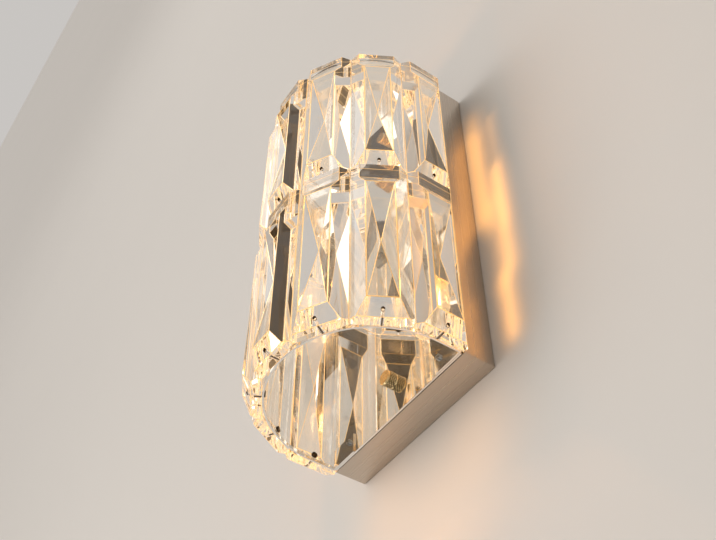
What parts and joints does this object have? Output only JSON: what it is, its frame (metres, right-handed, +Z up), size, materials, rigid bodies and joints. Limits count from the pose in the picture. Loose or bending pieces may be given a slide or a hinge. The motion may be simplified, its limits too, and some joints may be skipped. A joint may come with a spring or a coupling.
{
  "type": "crystal wall sconce",
  "caption": "Wall sconce: a half-round shade of cut crystal bars on a mirror plate and back box, with capsule lamps inside that light upwards and downwards.",
  "frame": {"origin": "centre of the wall bracket's back face, in the wall's plane", "axes": "+Z up, +Y into the wall, -Y towards the room, +X to the right seen from the room"},
  "size_m": [0.141, 0.1065, 0.255],
  "materials": {
    "zinc_steel": "dull zinc plating",
    "brass_screw": "plain",
    "brushed_box": "fine brushed grain, warm grey",
    "black_film": "thin adhesive film",
    "mirror_steel": "mirror polished",
    "clear_sheet": "clear, smooth",
    "bright_hoop": "polished",
    "bright_pin": "polished",
    "dark_pin": "dark bronzed steel",
    "steel_screw": "plain steel",
    "lead_sleeve": "soft heat-proof sleeve",
    "black_rubber": "matt",
    "white_plastic": "moulded",
    "clamp_brass": "plain",
    "white_ceramic": "glazed",
    "lamp_glass": "clear",
    "glowing_rod": "glows warm white",
    "crystal_glass": "clear, cut and polished",
    "nut_brass": "polished, diamond knurl"
  },
  "bodies": {
    "wall_side": {"wall_bracket": "zinc_steel", "bracket_studs": "zinc_steel", "stud_lock_nuts": "zinc_steel", "earth_washer": "zinc_steel", "earth_screw": "brass_screw"},
    "fixture": {"back_box": "brushed_box", "plate_film": "black_film", "mirror_plate": "mirror_steel", "clear_liner": "clear_sheet", "bottom_hoop": "bright_hoop", "top_hoop": "bright_hoop", "lower_crystal_pins": "dark_pin", "upper_crystal_pins": "dark_pin", "hoop_screws": "steel_screw", "hoop_nuts": "zinc_steel", "lamp_arm": "zinc_steel", "arm_screws": "steel_screw", "arm_nuts": "zinc_steel", "holder_screws": "steel_screw", "holder_nuts": "zinc_steel", "supply_leads": "lead_sleeve", "jumper_leads": "lead_sleeve", "lead_grommet": "black_rubber", "terminal_block": "white_plastic", "terminal_clamps": "clamp_brass", "terminal_screws": "steel_screw", "lower_lamp_holder": "white_ceramic", "upper_lamp_holder": "white_ceramic", "crystal_lower_1": "crystal_glass", "crystal_lower_2": "crystal_glass", "crystal_lower_3": "crystal_glass", "crystal_lower_4": "crystal_glass", "crystal_lower_5": "crystal_glass", "crystal_lower_6": "crystal_glass", "crystal_lower_7": "crystal_glass", "crystal_upper_1": "crystal_glass", "crystal_upper_2": "crystal_glass", "crystal_upper_3": "crystal_glass", "crystal_upper_4": "crystal_glass", "crystal_upper_5": "crystal_glass", "crystal_upper_6": "crystal_glass", "crystal_upper_7": "crystal_glass"},
    "lower_lamp": {"lower_lamp_base": "white_ceramic", "lower_lamp_glass": "lamp_glass", "lower_lamp_pins": "bright_pin", "lower_lamp_filament": "glowing_rod"},
    "lower_nut_travel": {"lower_nut_washer": "nut_brass"},
    "lower_nut": {"lower_thumb_nut": "nut_brass"},
    "upper_lamp": {"upper_lamp_base": "white_ceramic", "upper_lamp_glass": "lamp_glass", "upper_lamp_pins": "bright_pin", "upper_lamp_filament": "glowing_rod"},
    "upper_nut_travel": {"upper_nut_washer": "nut_brass"},
    "upper_nut": {"upper_thumb_nut": "nut_brass"}
  },
  "joints": [
    {"name": "fixture_lift", "type": "slide", "parent": "wall_side", "child": "fixture", "axis": [0, -1, 0], "range_m": [0, 0.04]},
    {"name": "lower_lamp_pull", "type": "slide", "parent": "fixture", "child": "lower_lamp", "axis": [0, 0, -1], "range_m": [0, 0.02]},
    {"name": "lower_nut_out", "type": "slide", "parent": "fixture", "child": "lower_nut_travel", "axis": [0, -1, 0], "range_m": [0, 0.0048]},
    {"name": "lower_nut_turn", "type": "hinge", "parent": "lower_nut_travel", "child": "lower_nut", "pos_m": [0, -0.022, -0.103], "axis": [0, -1, 0], "range_deg": [0, 2162]},
    {"name": "upper_lamp_pull", "type": "slide", "parent": "fixture", "child": "upper_lamp", "axis": [0, 0, 1], "range_m": [0, 0.02]},
    {"name": "upper_nut_out", "type": "slide", "parent": "fixture", "child": "upper_nut_travel", "axis": [0, -1, 0], "range_m": [0, 0.0048]},
    {"name": "upper_nut_turn", "type": "hinge", "parent": "upper_nut_travel", "child": "upper_nut", "pos_m": [0, -0.022, 0.103], "axis": [0, -1, 0], "range_deg": [0, 2162]}
  ],
  "couplings": [
    {"joint": "lower_nut_turn", "follows": "lower_nut_out", "rad_per_m": 7854},
    {"joint": "upper_nut_turn", "follows": "upper_nut_out", "rad_per_m": 7854}
  ]
}
